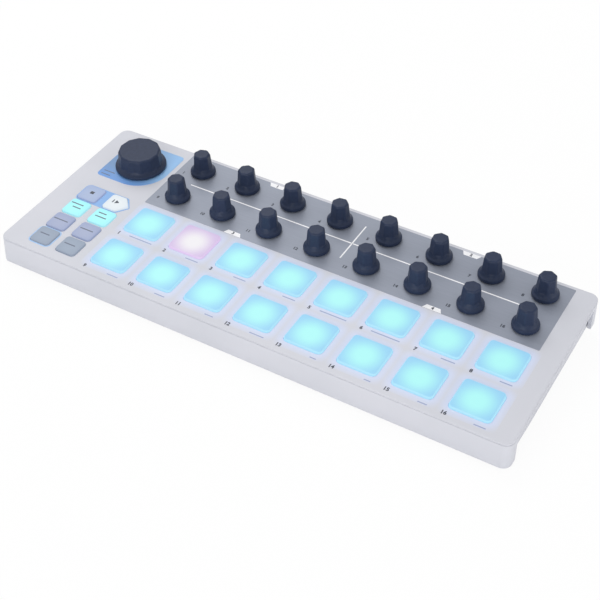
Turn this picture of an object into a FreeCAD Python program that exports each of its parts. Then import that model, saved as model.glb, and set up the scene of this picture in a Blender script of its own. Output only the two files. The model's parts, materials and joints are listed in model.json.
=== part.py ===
import FreeCAD, Part
import math
import os

# A desktop controller: sixteen pads, sixteen small knobs, one large knob and eight keys on a case whose
# deck slopes up to the back. Lengths are in millimetres and angles in degrees. X runs along the width,
# Y from the front edge to the back and Z up. The origin is on the table, under the middle of the case.

# Pads: silicone blocks in two rows of eight
pad_columns = 8
pad_width = 22.2
pad_depth = 21.2
pad_corner = 2.5
pad_proud = 1.4
pad_edge = 0.8
pad_travel = 1.0
pad_column_gap = 8.3
pad_row_gap = 9.0

# Keys: two columns of four, the play key drawn out to a point on its right
key_rows = 4
key_width = 12.8
key_depth = 12.6
key_corner = 2.0
key_proud = 0.9
key_edge = 0.5
key_travel = 0.8
key_column_gap = 5.1
key_row_gap = 1.5
play_point = 1.6
play_shoulder = 3.8
play_corner = 1.2

# The rim under the deck that keeps a pad or key in its opening
opening_clearance = 0.25
rim_reach = 1.0
rim_thickness = 1.0
rim_clearance = 0.15
travel_clearance = 0.1
corner_flats = 3

# Where the controls stand on the deck, measured in plan
left_margin = 16.3
key_to_pad_gap = 9.5
right_margin = 14.8
front_margin = 8.4
key_front_margin = 6.5
pad_to_knob_rows = 28.0
knob_pitch_y = 26.2
knob_back_margin = 14.6
level_back_margin = 26.8

# Small knobs: a round skirt under a grip with seven flats
skirt_radius = 7.35
skirt_top = 3.0
shoulder_radius = 5.9
shoulder_top = 4.4
grip_flats = 7
skirt_flats = 3 * grip_flats
grip_radius = 5.7
grip_top_radius = 4.9
knob_height = 14.0
knob_chamfer = 0.6
knob_gap = 0.6
shaft_radius = 3.0
shaft_in_encoder = 4.2
knob_angles = (32, 2, 24, 21, 10, 5, 10, 37, 50, 18, 0, 4, 25, 34, 2, 22)

# The large knob: a thin round flange under a grip with twelve flats
level_flange_radius = 15.0
level_flange_top = 2.0
level_shoulder_top = 3.6
level_grip_flats = 12
level_flange_flats = 3 * level_grip_flats
level_grip_radius = 12.9
level_top_radius = 12.2
level_height = 11.9
level_chamfer = 0.7
level_angle = 6.4

# Top shell
wall = 2.0
deck_thickness = 2.4
corner_radius = 5.0
edge_radius = 0.8
draft_angle = 1.5
lip_height = 3.0
front_leg = 9.0
back_leg = 10.0
leg_taper = 0.6
arch_radius = 1.5
side_height = 15.7
corner_cut_width = 8.0
corner_cut_radius = 2.0
shaft_hole_radius = 3.6
stiffener_thickness = 1.6
stiffener_drop = 3.0

# Base pan: pressed sheet whose sides stand in under the side lips and slope in below them
foot_height = 1.5
pan_recess = 2.0
pan_thickness = 1.2
pan_clearance = 0.4
pan_hem = 2.4
pan_end_gusset = 20.0
rim_cover = 0.4
wing_angle = 45.0

# Rubber strips under the pan
strip_width = 8.0
strip_corner = 3.0
strip_end_margin = 33.5
strip_front_margin = 11.0
strip_back_margin = 13.0
strip_edge = 0.4

# Boards, film and light emitters
board_thickness = 1.6
board_margin = 1.5
film_thickness = 0.4
film_margin = 0.5
led_width = 3.0
led_depth = 2.8
led_height = 0.9
led_clearance = 0.6
led_pocket_height = 0.5
chip_size = 10.0
chip_height = 1.4
chip_x = 36.0
cable_width = 24.0
cable_thickness = 0.3
cable_lap = 6.0
cable_x = -40.0

# Encoders
encoder_size = 11.6
encoder_height = 5.5
encoder_gap = 0.3
encoder_bore_clearance = 0.1
encoder_bore_spare = 0.4
level_encoder_size = 14.0

# Room left inside, which sets the slope of the deck
front_headroom = 6.2
jack_headroom = 1.82

# Sockets on the back
io_gap = 0.3
io_board_margin = 8.0
io_board_depth = 16.0
jack_width = 6.0
jack_height = 5.0
jack_depth = 12.0
jack_count = 3
jack_first_x = -36.0
jack_pitch = 16.0
jack_neck_radius = 2.9
jack_neck_recess = 0.2
jack_bore_radius = 1.8
jack_bore_end = 1.0
socket_gap = 0.2
usb_x = -62.0
usb_width = 7.6
usb_height = 2.9
usb_depth = 5.6
usb_shell = 0.35
usb_tongue = 0.6
usb_bevel = 0.9
usb_window_width = 11.4
usb_window_height = 7.0
usb_window_corner = 1.2
lock_x = 110.0
lock_slot_width = 7.0
lock_slot_height = 3.0
lock_drop = 9.0

# Case screws, driven up through pan and board into the bosses of the deck
screw_gaps = (-1, 2, 6)
boss_radius = 2.8
pilot_radius = 1.25
pilot_skin = 1.0
standoff_radius = 3.2
screw_radius = 1.2
screw_clear_radius = 1.7
screw_head_radius = 2.8
screw_head_height = 1.6
screw_end_gap = 0.4

# Small rounds that hardly show are drawn with flats, which keeps the model light
small_flats = 12
neck_flats = 3 * small_flats // 2

# Margins used only to carry a cutting tool past the face it cuts
past = 5.0
far = 400.0

# Plan of the case: its width and depth follow from what stands on the deck
key_pitch_x = key_width + key_column_gap
key_pitch_y = key_depth + key_row_gap
pad_pitch_x = pad_width + pad_column_gap
pad_pitch_y = pad_depth + pad_row_gap
pad_span = (pad_columns - 1) * pad_pitch_x + pad_width
case_width = left_margin + key_pitch_x + key_width + key_to_pad_gap + pad_span + right_margin
case_depth = front_margin + pad_depth / 2 + pad_pitch_y + pad_to_knob_rows + knob_pitch_y + knob_back_margin
half_width = case_width / 2
half_depth = case_depth / 2
key_xs = (-half_width + left_margin + key_width / 2, -half_width + left_margin + key_width / 2 + key_pitch_x)
key_ys = [-half_depth + key_front_margin + key_depth / 2 + (key_rows - 1 - row) * key_pitch_y
          for row in range(key_rows)]
pad_first_x = half_width - right_margin - pad_span + pad_width / 2
pad_xs = [pad_first_x + column * pad_pitch_x for column in range(pad_columns)]
pad_front_y = -half_depth + front_margin + pad_depth / 2
pad_ys = (pad_front_y + pad_pitch_y, pad_front_y)
knob_ys = (half_depth - knob_back_margin, half_depth - knob_back_margin - knob_pitch_y)
level_x = (key_xs[0] + key_xs[1]) / 2
level_y = half_depth - level_back_margin
screw_xs = [pad_first_x + (gap + 0.5) * pad_pitch_x for gap in screw_gaps]
pad_screw_y = (pad_ys[0] + pad_ys[1]) / 2
knob_screw_y = (knob_ys[0] + knob_ys[1]) / 2

# Depths below the deck's top face, measured square to it
rim_top = deck_thickness + rim_clearance
film_top = rim_top + rim_thickness + pad_travel + travel_clearance
pad_board_top = film_top + film_thickness
pad_board_bottom = pad_board_top + board_thickness
encoder_top = deck_thickness + encoder_gap
knob_board_top = encoder_top + encoder_height
knob_board_bottom = knob_board_top + board_thickness
pan_rim_top = lip_height - rim_cover
pan_bend = side_height

# Heights above the table
pan_bottom = foot_height + pan_recess
pan_floor = pan_bottom + pan_thickness
io_board_bottom = pan_floor + io_gap
io_board_top = io_board_bottom + board_thickness
jack_z = io_board_top + jack_height / 2


def draft_inset(z):
    """How far the walls have leaned in at a height above the table."""
    return (z - foot_height) * math.tan(math.radians(draft_angle))


# The deck's slope: the plane that leaves the stated room over the pan at the front of the pad board and
# over the inner ends of the sockets at the back
board_front_y = pad_front_y - pad_depth / 2 - rim_reach - board_margin
jack_face_y = half_depth - wall - draft_inset(jack_z) - socket_gap
jack_end_y = jack_face_y - jack_depth
front_point_z = pan_floor + front_headroom + pad_board_bottom
back_point_z = io_board_top + jack_height + jack_headroom + knob_board_bottom
slope = (back_point_z - front_point_z) / (jack_end_y - board_front_y)
tilt = math.atan(slope)
deck_z = front_point_z - board_front_y * slope
deck_placement = FreeCAD.Placement(
    FreeCAD.Vector(0, 0, deck_z), FreeCAD.Rotation(FreeCAD.Vector(1, 0, 0), math.degrees(tilt)))


def deck_height(y, depth=0.0):
    """Height above the table at y, of the plane that lies a depth below the deck's top face."""
    return deck_z + y * slope - depth / math.cos(tilt)


def along(y):
    """A distance in plan as a distance along the sloping deck."""
    return y / math.cos(tilt)


def on_deck(shape):
    """Set a shape, modelled with Z square to the deck and Z = 0 on its top face, in its place."""
    shape.Placement = deck_placement.multiply(shape.Placement)
    return shape


def corners_of(width, depth, x=0.0, y=0.0):
    return [(x - width / 2, y - depth / 2), (x + width / 2, y - depth / 2),
            (x + width / 2, y + depth / 2), (x - width / 2, y + depth / 2)]


def outline(corners, radii, grow=0.0):
    """Points of a convex outline, given anticlockwise, pushed out by grow, with each corner rounded in flats."""
    moved = []
    count = len(corners)
    for i in range(count):
        before, here, after = corners[i - 1], corners[i], corners[(i + 1) % count]
        ax, ay = here[0] - before[0], here[1] - before[1]
        bx, by = after[0] - here[0], after[1] - here[1]
        a, b = math.hypot(ax, ay), math.hypot(bx, by)
        turn = math.atan2((ax * by - ay * bx) / (a * b), (ax * bx + ay * by) / (a * b))
        out = (ay / a + by / b, -ax / a - bx / b)
        size = math.hypot(*out)
        reach = grow / math.cos(turn / 2)
        moved.append((here[0] + out[0] / size * reach, here[1] + out[1] / size * reach, out, size, turn,
                      math.atan2(-ax, ay)))
    points = []
    for (x, y, out, size, turn, start), radius in zip(moved, radii):
        round_radius = radius + grow
        if round_radius <= 0:
            points.append((x, y))
            continue
        back = round_radius / math.cos(turn / 2)
        cx, cy = x - out[0] / size * back, y - out[1] / size * back
        for step in range(corner_flats + 1):
            angle = start + turn * step / corner_flats
            points.append((cx + round_radius * math.cos(angle), cy + round_radius * math.sin(angle)))
    return points


def ring(radius, flats, angle=0.0, x=0.0, y=0.0):
    """Points of a regular outline, its first corner at an angle from +X."""
    turns = [math.radians(angle + 360.0 * i / flats) for i in range(flats)]
    return [(x + radius * math.cos(t), y + radius * math.sin(t)) for t in turns]


def stack(layers):
    """A solid through anticlockwise outlines of equally many corners, each at its height, lowest first."""
    rings = [[FreeCAD.Vector(x, y, z) for x, y in points] for points, z in layers]
    faces = [Part.Face(Part.makePolygon(rings[0][::-1] + rings[0][-1:])),
             Part.Face(Part.makePolygon(rings[-1] + rings[-1][:1]))]
    for low, high in zip(rings, rings[1:]):
        for i in range(len(low)):
            j = (i + 1) % len(low)
            faces.append(Part.Face(Part.makePolygon([low[i], low[j], high[j], high[i], low[i]])))
    return Part.Solid(Part.Shell(faces))


def box(x0, x1, y0, y1, z0, z1):
    return Part.makeBox(x1 - x0, y1 - y0, z1 - z0, FreeCAD.Vector(x0, y0, z0))


def post(x, y, z0, z1, radius):
    """An upright round post, its flats just inside the radius."""
    points = ring(radius, small_flats, 0, x, y)
    return stack([(points, z0), (points, z1)])


def drilled(x, y, z0, z1, radius):
    """What a drill of the radius takes out, its flats just outside the radius."""
    return post(x, y, z0, z1, radius / math.cos(math.pi / small_flats))


def neck(x, z, y0, y1, radius):
    """A round neck along Y, drawn with flats."""
    corners = [FreeCAD.Vector(px, y0, pz) for px, pz in ring(radius, neck_flats, 0, x, z)]
    return Part.Face(Part.makePolygon(corners + corners[:1])).extrude(FreeCAD.Vector(0, y1 - y0, 0))


def slab(low, high):
    """Everything between two depths below the deck."""
    return on_deck(box(-far, far, -far, far, -low, -high))


def joined(shapes):
    return shapes[0].fuse(shapes[1:]).removeSplitter()


def save(name, shape):
    shape.exportStep("parts/" + name + ".step")


def moulding(inset):
    """The case's outside, drafted and round at the corners, set in all round and taller than the deck."""
    top = back_point_z + 3 * past
    lean = draft_inset(top)
    block = stack([(corners_of(case_width - 2 * inset, case_depth - 2 * inset), foot_height),
                   (corners_of(case_width - 2 * inset - 2 * lean, case_depth - 2 * inset - 2 * lean), top)])
    upright = [edge for edge in block.Edges if edge.BoundBox.ZLength > past]
    return block.makeFillet(max(corner_radius - inset, corner_radius / 8), upright)


def below_deck(shape, depth):
    """The part of a shape that lies under the plane at a depth below the deck's top face."""
    return shape.common(slab(far, depth))


def pad_outline(grow=0.0, x=0.0, y=0.0):
    return outline(corners_of(pad_width, pad_depth, x, y), [pad_corner] * 4, grow)


def key_outline(pointed, grow=0.0, x=0.0, y=0.0):
    if not pointed:
        return outline(corners_of(key_width, key_depth, x, y), [key_corner] * 4, grow)
    left, right = x - key_width / 2, x + key_width / 2
    shoulder = right - play_shoulder
    corners = [(left, y - key_depth / 2), (shoulder, y - key_depth / 2), (right + play_point, y),
               (shoulder, y + key_depth / 2), (left, y + key_depth / 2)]
    return outline(corners, [key_corner, play_corner, play_corner, play_corner, key_corner], grow)


def make_pad(x, y):
    """A block with a bevelled top edge, a square rim under the deck and a pocket over its light."""
    body = stack([(pad_outline(0, x, y), -rim_top), (pad_outline(0, x, y), pad_proud - pad_edge),
                  (pad_outline(-pad_edge, x, y), pad_proud)])
    rim_bottom = -rim_top - rim_thickness
    rim = stack([(corners_of(pad_width + 2 * rim_reach, pad_depth + 2 * rim_reach, x, y), rim_bottom),
                 (corners_of(pad_width + 2 * rim_reach, pad_depth + 2 * rim_reach, x, y), -rim_top)])
    pocket = led_pocket(x, y, rim_bottom, pad_board_top - led_height - pad_travel)
    return on_deck(joined([body, rim]).cut(pocket))


def led_pocket(x, y, bottom, top_depth):
    """The hollow under a pad or key that clears its light at full travel."""
    wide, deep = led_width + 2 * led_clearance, led_depth + 2 * led_clearance
    return box(x - wide / 2, x + wide / 2, y - deep / 2, y + deep / 2, bottom - past,
               -top_depth + led_pocket_height)


def make_key(x, y, pointed):
    """A key like a small pad, with a nose that reaches down to the board."""
    body = stack([(key_outline(pointed, 0, x, y), -rim_top),
                  (key_outline(pointed, 0, x, y), key_proud - key_edge),
                  (key_outline(pointed, -key_edge, x, y), key_proud)])
    point = play_point if pointed else 0.0
    rim_bottom = -rim_top - rim_thickness
    rim = box(x - key_width / 2 - rim_reach, x + key_width / 2 + point + rim_reach,
              y - key_depth / 2 - key_row_gap * 0.3, y + key_depth / 2 + key_row_gap * 0.3,
              rim_bottom, -rim_top)
    nose_bottom = -pad_board_top + key_travel + travel_clearance
    half = min(key_width, key_depth) / 2 - key_corner
    nose = box(x - half, x + half, y - half, y + half, nose_bottom, rim_bottom)
    pocket = led_pocket(x, y, nose_bottom, pad_board_top - led_height - key_travel)
    return on_deck(joined([body, rim, nose]).cut(pocket))


def make_knob(x, y, angle):
    """A skirted cap with its shaft. The skirt is round, drawn with three short flats to each of the grip's."""
    skirt = stack([(ring(skirt_radius, skirt_flats, angle, x, y), knob_gap),
                   (ring(skirt_radius, skirt_flats, angle, x, y), skirt_top),
                   (ring(shoulder_radius, skirt_flats, angle, x, y), shoulder_top)])
    grip = stack([(ring(grip_radius, grip_flats, angle, x, y), shoulder_top),
                  (ring(grip_top_radius, grip_flats, angle, x, y), knob_height - knob_chamfer),
                  (ring(grip_top_radius - knob_chamfer, grip_flats, angle, x, y), knob_height)])
    return on_deck(joined([skirt, grip, shaft(x, y)]))


def shaft(x, y):
    return post(x, y, -encoder_top - shaft_in_encoder, knob_gap, shaft_radius)


def make_level_knob():
    flange_edge = knob_gap + (level_flange_top - knob_gap) / 2
    slope_in = level_flange_radius - level_grip_radius
    flange = stack([
        (ring(level_flange_radius, level_flange_flats, level_angle, level_x, along(level_y)), knob_gap),
        (ring(level_flange_radius, level_flange_flats, level_angle, level_x, along(level_y)), flange_edge),
        (ring(level_flange_radius - slope_in / 4, level_flange_flats, level_angle, level_x, along(level_y)),
         level_flange_top),
        (ring(level_grip_radius, level_flange_flats, level_angle, level_x, along(level_y)),
         level_shoulder_top)])
    grip = stack([
        (ring(level_grip_radius, level_grip_flats, level_angle, level_x, along(level_y)), level_shoulder_top),
        (ring(level_top_radius, level_grip_flats, level_angle, level_x, along(level_y)),
         level_height - level_chamfer),
        (ring(level_top_radius - level_chamfer, level_grip_flats, level_angle, level_x, along(level_y)),
         level_height)])
    return on_deck(joined([flange, grip, shaft(level_x, along(level_y))]))


def encoder_centres():
    return [(x, along(y)) for y in knob_ys for x in pad_xs]


def make_encoder(x, y, size):
    body = box(x - size / 2, x + size / 2, y - size / 2, y + size / 2, -knob_board_top, -encoder_top)
    bore = drilled(x, y, -encoder_top - shaft_in_encoder - encoder_bore_spare, past,
                   shaft_radius + encoder_bore_clearance)
    return on_deck(body.cut(bore))


def screw_sites():
    """Each case screw's x and y, and the depths of the top and bottom of the board that it passes through."""
    sites = []
    for x in screw_xs:
        sites.append((x, pad_screw_y, pad_board_top, pad_board_bottom))
        sites.append((x, knob_screw_y, knob_board_top, knob_board_bottom))
    return sites


def side_arches():
    """What is cut from under both side lips between the front and back legs."""
    front, back = -half_depth + front_leg, half_depth - back_leg
    z_low = foot_height - past
    points = [(front - leg_taper, z_low), (back + leg_taper, z_low), (back, deck_height(back, lip_height)),
              (front, deck_height(front, lip_height))]
    wire = Part.makePolygon([FreeCAD.Vector(-far, y, z) for y, z in points + points[:1]])
    arch = Part.Face(wire).extrude(FreeCAD.Vector(2 * far, 0, 0))
    ends = [edge for edge in arch.Edges
            if edge.Length > far and edge.CenterOfMass.z > pan_bottom]
    return arch.makeFillet(arch_radius, ends)


def corner_cuts():
    """What is cut from under the two back corners, level with the deck, so that the pan alone stands there."""
    cuts = []
    inner, outer = half_width - corner_cut_width, half_width + past
    y0, y1 = along(half_depth - back_leg - 2 * leg_taper), along(half_depth + past)
    for side in (1, -1):
        cut = box(min(side * inner, side * outer), max(side * inner, side * outer), y0, y1, -far, -side_height)
        turn = [edge for edge in cut.Edges
                if edge.BoundBox.XLength < 1e-6 and edge.BoundBox.ZLength < 1e-6
                and abs(edge.CenterOfMass.x - side * inner) < 1e-6
                and abs(edge.CenterOfMass.z + side_height) < 1e-6]
        cuts.append(on_deck(cut.makeFillet(corner_cut_radius, turn)))
    return cuts


def prism(points, low, high):
    return on_deck(stack([(points, low), (points, high)]))


def deck_openings():
    low, high = -deck_thickness - past, past
    tools = []
    for y in pad_ys:
        for x in pad_xs:
            tools.append(prism(pad_outline(opening_clearance, x, along(y)), low, high))
    for row, y in enumerate(key_ys):
        for column, x in enumerate(key_xs):
            pointed = row == 0 and column == 1
            tools.append(prism(key_outline(pointed, opening_clearance, x, along(y)), low, high))
    for x, y in encoder_centres() + [(level_x, along(level_y))]:
        tools.append(on_deck(drilled(x, y, low, high, shaft_hole_radius)))
    return tools


def jack_xs():
    return [jack_first_x + i * jack_pitch for i in range(jack_count)]


def usb_z():
    return io_board_top + usb_height / 2


def lock_z():
    return deck_height(half_depth) - lock_drop


def back_cuts():
    """Holes through the back wall for the three jacks and the USB plug, and the slot for a cable lock."""
    y0, y1 = half_depth - wall - past, half_depth + past
    tools = [neck(x, jack_z, y0, y1, jack_neck_radius + socket_gap) for x in jack_xs()]
    points = outline(corners_of(usb_window_width, usb_window_height, usb_x, usb_z()), [usb_window_corner] * 4)
    corners = [FreeCAD.Vector(x, y0, z) for x, z in points]
    tools.append(Part.Face(Part.makePolygon(corners + corners[:1])).extrude(FreeCAD.Vector(0, y1 - y0, 0)))
    slot = box(lock_x - lock_slot_width / 2, lock_x + lock_slot_width / 2, y0, y1,
               lock_z() - lock_slot_height / 2, lock_z() + lock_slot_height / 2)
    tools.append(slot)
    return tools


def make_top_shell():
    outside = below_deck(moulding(0.0), 0.0)
    to_deck = deck_placement.inverse()
    rim_edges = [edge for edge in outside.Edges
                 if all(abs(to_deck.multVec(v.Point).z) < 1e-4 for v in edge.Vertexes)]
    outside = outside.makeFillet(edge_radius, rim_edges)
    inside = below_deck(moulding(wall), deck_thickness)
    shell = outside.cut(inside).cut([side_arches()] + corner_cuts())
    bosses = []
    pilots = []
    for x, y, board_top, board_bottom in screw_sites():
        bosses.append(post(x, y, 0, deck_z + 2 * past, boss_radius).common(slab(board_top, deck_thickness)))
        pilots.append(drilled(x, y, 0, deck_height(y, pilot_skin), pilot_radius))
    stiffener_y = along((pad_ys[0] + pad_depth / 2 + rim_reach + knob_ys[1] - encoder_size / 2) / 2)
    stiffener = on_deck(box(-half_width + past, half_width - past,
                            stiffener_y - stiffener_thickness / 2, stiffener_y + stiffener_thickness / 2,
                            -deck_thickness - stiffener_drop, -deck_thickness))
    shell = shell.fuse(bosses + [stiffener])
    return shell.cut(pilots + deck_openings() + back_cuts()).removeSplitter()


def tub(offset):
    """The base pan's outside, or with an offset its inside, before the ends are cut down to hems."""
    solid = below_deck(moulding(wall + pan_clearance + offset), pan_rim_top if offset == 0 else 0.0)
    solid = solid.common(box(-far, far, -far, far, pan_bottom + offset, far))
    bend_x = half_width - draft_inset(deck_height(0, pan_bend)) - wall - pan_clearance - offset
    bend = pan_bend + offset * math.tan(math.radians((90 - wing_angle) / 2))
    drop = deck_z
    wedge = [(bend_x, -bend), (bend_x - drop / math.tan(math.radians(wing_angle)), -bend - drop),
             (bend_x + far, -bend - drop), (bend_x + far, -bend)]
    for side in (1, -1):
        points = [FreeCAD.Vector(side * x, -far, z) for x, z in wedge]
        tool = Part.Face(Part.makePolygon(points + points[:1])).extrude(FreeCAD.Vector(0, 2 * far, 0))
        solid = solid.cut(on_deck(tool))
    return solid


def make_base_pan():
    pan = tub(0.0).cut(tub(pan_thickness))
    open_half = half_width - wall - pan_clearance - pan_end_gusset
    for side in (1, -1):
        outer, inner = side * half_depth, side * (half_depth - wall - pan_clearance - pan_thickness - past)
        pan = pan.cut(box(-open_half, open_half, min(outer, inner), max(outer, inner),
                          pan_bottom + pan_hem, deck_z + 2 * past))
    standoffs = []
    holes = []
    for x, y, board_top, board_bottom in screw_sites():
        standoffs.append(below_deck(post(x, y, pan_bottom, deck_z, standoff_radius), board_bottom))
        holes.append(drilled(x, y, 0, deck_z, screw_clear_radius))
    return pan.fuse(standoffs).cut(holes).removeSplitter()


def make_case_screws():
    """Pan-head screws whose heads lie in the pan's recess, clear of the table."""
    screws = []
    for x, y, board_top, board_bottom in screw_sites():
        head = post(x, y, pan_bottom - screw_head_height, pan_bottom, screw_head_radius)
        shank = post(x, y, pan_bottom, deck_height(y, pilot_skin) - screw_end_gap, screw_radius)
        screws.append(head.fuse(shank))
    return Part.makeCompound(screws)


def make_strip(y):
    """A rubber strip with rounded ends and a bevelled lower edge, stuck under the pan."""
    corners = corners_of(2 * (half_width - strip_end_margin), strip_width, 0, y)
    radii = [strip_corner] * 4
    return stack([(outline(corners, radii, -strip_edge), 0.0), (outline(corners, radii), strip_edge),
                  (outline(corners, radii), pan_bottom)])


def make_pad_board():
    left = key_xs[0] - key_width / 2 - rim_reach - board_margin
    right = pad_xs[-1] + pad_width / 2 + rim_reach + board_margin
    back = along(max(pad_ys[0] + pad_depth / 2, key_ys[0] + key_depth / 2) + rim_reach)
    board = on_deck(box(left, right, along(board_front_y), back, -pad_board_bottom, -pad_board_top))
    return board.cut([drilled(x, pad_screw_y, 0, deck_z + past, screw_clear_radius) for x in screw_xs])


def knob_board_edges():
    front = along(knob_ys[1]) - encoder_size / 2 - board_margin
    back = along(knob_ys[0]) + encoder_size / 2 + board_margin
    return front, back


def make_knob_board():
    left = level_x - level_encoder_size / 2 - board_margin
    right = pad_xs[-1] + encoder_size / 2 + board_margin
    front, back = knob_board_edges()
    board = on_deck(box(left, right, front, back, -knob_board_bottom, -knob_board_top))
    return board.cut([drilled(x, knob_screw_y, 0, deck_z + past, screw_clear_radius) for x in screw_xs])


def make_io_board():
    """The board of the sockets, which overhang its back edge above the hem of the pan."""
    x0 = usb_x - usb_window_width / 2 - io_board_margin
    x1 = jack_xs()[-1] + jack_width / 2 + io_board_margin
    back = half_depth - wall - draft_inset(pan_floor) - pan_clearance - pan_thickness - io_gap
    return box(x0, x1, jack_face_y - io_board_depth, back, io_board_bottom, io_board_top)


def make_pressure_film():
    """One sensing strip under each row of pads, with a window for the light of each pad."""
    strips = []
    wide, deep = led_width + led_clearance, led_depth + led_clearance
    for y in pad_ys:
        strip = box(pad_xs[0] - pad_width / 2 - film_margin, pad_xs[-1] + pad_width / 2 + film_margin,
                    along(y) - pad_depth / 2 - film_margin, along(y) + pad_depth / 2 + film_margin,
                    -pad_board_top, -film_top)
        windows = [box(x - wide / 2, x + wide / 2, along(y) - deep / 2, along(y) + deep / 2,
                       -pad_board_top - past, past) for x in pad_xs]
        strips.append(on_deck(strip.cut(windows)))
    return Part.makeCompound(strips)


def make_leds():
    centres = [(x, y) for y in pad_ys for x in pad_xs] + [(x, y) for y in key_ys for x in key_xs]
    chips = [on_deck(box(x - led_width / 2, x + led_width / 2, along(y) - led_depth / 2,
                         along(y) + led_depth / 2, -pad_board_top, led_height - pad_board_top))
             for x, y in centres]
    return Part.makeCompound(chips)


def make_chip():
    """The processor, soldered under the knob board between the two rows of encoders."""
    y = along(knob_screw_y)
    return on_deck(box(chip_x - chip_size / 2, chip_x + chip_size / 2, y - chip_size / 2, y + chip_size / 2,
                       -knob_board_bottom - chip_height, -knob_board_bottom))


def cable(points, thickness, x):
    """A flat cable whose upper face follows points of y and z in one plane."""
    lower = [(y, z - thickness) for y, z in reversed(points)]
    corners = [FreeCAD.Vector(x - cable_width / 2, y, z) for y, z in points + lower]
    return Part.Face(Part.makePolygon(corners + corners[:1])).extrude(FreeCAD.Vector(cable_width, 0, 0))


def make_flat_cables():
    """One flat cable from the pad board to the knob board and one from there down to the socket board."""
    pad_edge_y = along(max(pad_ys[0] + pad_depth / 2, key_ys[0] + key_depth / 2) + rim_reach)
    front, back = knob_board_edges()
    link = cable([(pad_edge_y - cable_lap, -pad_board_bottom), (pad_edge_y, -pad_board_bottom),
                  (front, -knob_board_bottom), (front + cable_lap, -knob_board_bottom)],
                 cable_thickness, cable_x)
    board_y = jack_face_y - io_board_depth
    hang_y = board_y - 2 * cable_lap
    drop = cable([(hang_y - cable_lap, deck_height(hang_y - cable_lap, knob_board_bottom)),
                  (hang_y, deck_height(hang_y, knob_board_bottom)),
                  (board_y, io_board_top + cable_thickness),
                  (board_y + cable_lap / 2, io_board_top + cable_thickness)],
                 cable_thickness, cable_x)
    return Part.makeCompound([on_deck(link), drop])


def make_jack(x):
    """A jack for a small plug, its neck flush with the back wall."""
    neck_end = half_depth - draft_inset(jack_z) - jack_neck_recess
    body = box(x - jack_width / 2, x + jack_width / 2, jack_end_y, jack_face_y, io_board_top,
               io_board_top + jack_height)
    nose = neck(x, jack_z, jack_face_y, neck_end, jack_neck_radius)
    bore = Part.makeCylinder(jack_bore_radius, jack_depth + past,
                             FreeCAD.Vector(x, jack_end_y + jack_bore_end, jack_z), FreeCAD.Vector(0, 1, 0))
    return joined([body, nose]).cut(bore)


def usb_profile(inset, y):
    """The socket's section, with its lower corners cut off."""
    half, low, high = usb_width / 2 - inset, io_board_top + inset, io_board_top + usb_height - inset
    cut = usb_bevel
    points = [(-half + cut, low), (half - cut, low), (half, low + cut), (half, high), (-half, high),
              (-half, low + cut)]
    corners = [FreeCAD.Vector(usb_x + px, y, pz) for px, pz in points]
    return Part.Face(Part.makePolygon(corners + corners[:1]))


def make_usb_socket():
    """A folded metal shell round a plastic tongue."""
    y0 = jack_face_y - usb_depth
    shell = usb_profile(0.0, y0).extrude(FreeCAD.Vector(0, usb_depth, 0))
    mouth = usb_profile(usb_shell, y0 + usb_shell).extrude(FreeCAD.Vector(0, usb_depth, 0))
    tongue_half = usb_width / 2 - 3 * usb_shell
    tongue = box(usb_x - tongue_half, usb_x + tongue_half, y0, jack_face_y - usb_depth / 5,
                 usb_z() + usb_tongue / 6, usb_z() + usb_tongue * 7 / 6)
    return shell.cut(mouth).fuse(tongue).removeSplitter()


key_names = (("stop_key", "play_key"), ("mode_key", "sync_key"), ("recall_key", "store_key"),
             ("shift_key", "channel_key"))


def main():
    os.makedirs("parts", exist_ok=True)
    save("top_shell", make_top_shell())
    save("base_pan", make_base_pan())
    save("front_foot_strip", make_strip(-half_depth + strip_front_margin))
    save("back_foot_strip", make_strip(half_depth - strip_back_margin))
    save("case_screws", make_case_screws())
    save("pad_board", make_pad_board())
    save("knob_board", make_knob_board())
    save("socket_board", make_io_board())
    save("pressure_film", make_pressure_film())
    save("lights", make_leds())
    save("processor", make_chip())
    save("flat_cables", make_flat_cables())
    save("encoders", Part.makeCompound([make_encoder(x, y, encoder_size) for x, y in encoder_centres()]))
    save("level_encoder", make_encoder(level_x, along(level_y), level_encoder_size))
    save("usb_socket", make_usb_socket())
    for i, x in enumerate(jack_xs()):
        save("jack_%d" % (i + 1), make_jack(x))
    save("level_knob", make_level_knob())
    for i, (x, y) in enumerate(encoder_centres()):
        save("knob_%02d" % (i + 1), make_knob(x, y, knob_angles[i]))
    for row, y in enumerate(pad_ys):
        for column, x in enumerate(pad_xs):
            save("pad_%02d" % (row * pad_columns + column + 1), make_pad(x, along(y)))
    for row, y in enumerate(key_ys):
        for column, x in enumerate(key_xs):
            save(key_names[row][column], make_key(x, along(y), key_names[row][column] == "play_key"))
    print("case %.2f x %.2f, deck edges %.2f and %.2f above the table, slope %.2f degrees"
          % (case_width, case_depth, deck_height(-half_depth), deck_height(half_depth), math.degrees(tilt)))


main()
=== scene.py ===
import bmesh
import bpy
import json
import math
from mathutils import Matrix, Vector


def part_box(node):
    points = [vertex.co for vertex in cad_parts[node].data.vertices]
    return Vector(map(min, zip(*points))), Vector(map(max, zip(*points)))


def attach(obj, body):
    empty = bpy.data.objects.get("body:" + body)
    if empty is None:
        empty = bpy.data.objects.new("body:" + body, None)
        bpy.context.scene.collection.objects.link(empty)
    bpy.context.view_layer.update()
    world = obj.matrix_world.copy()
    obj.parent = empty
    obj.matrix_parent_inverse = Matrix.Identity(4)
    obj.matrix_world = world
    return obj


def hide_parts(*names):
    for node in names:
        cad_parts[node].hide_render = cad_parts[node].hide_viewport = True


# The looks of a desktop pad controller: case, pads, keys, knobs, printed deck and sockets. Lengths are in
# millimetres, times mm. A place on the deck is x and y along the deck's slope, with z square to it.

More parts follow.
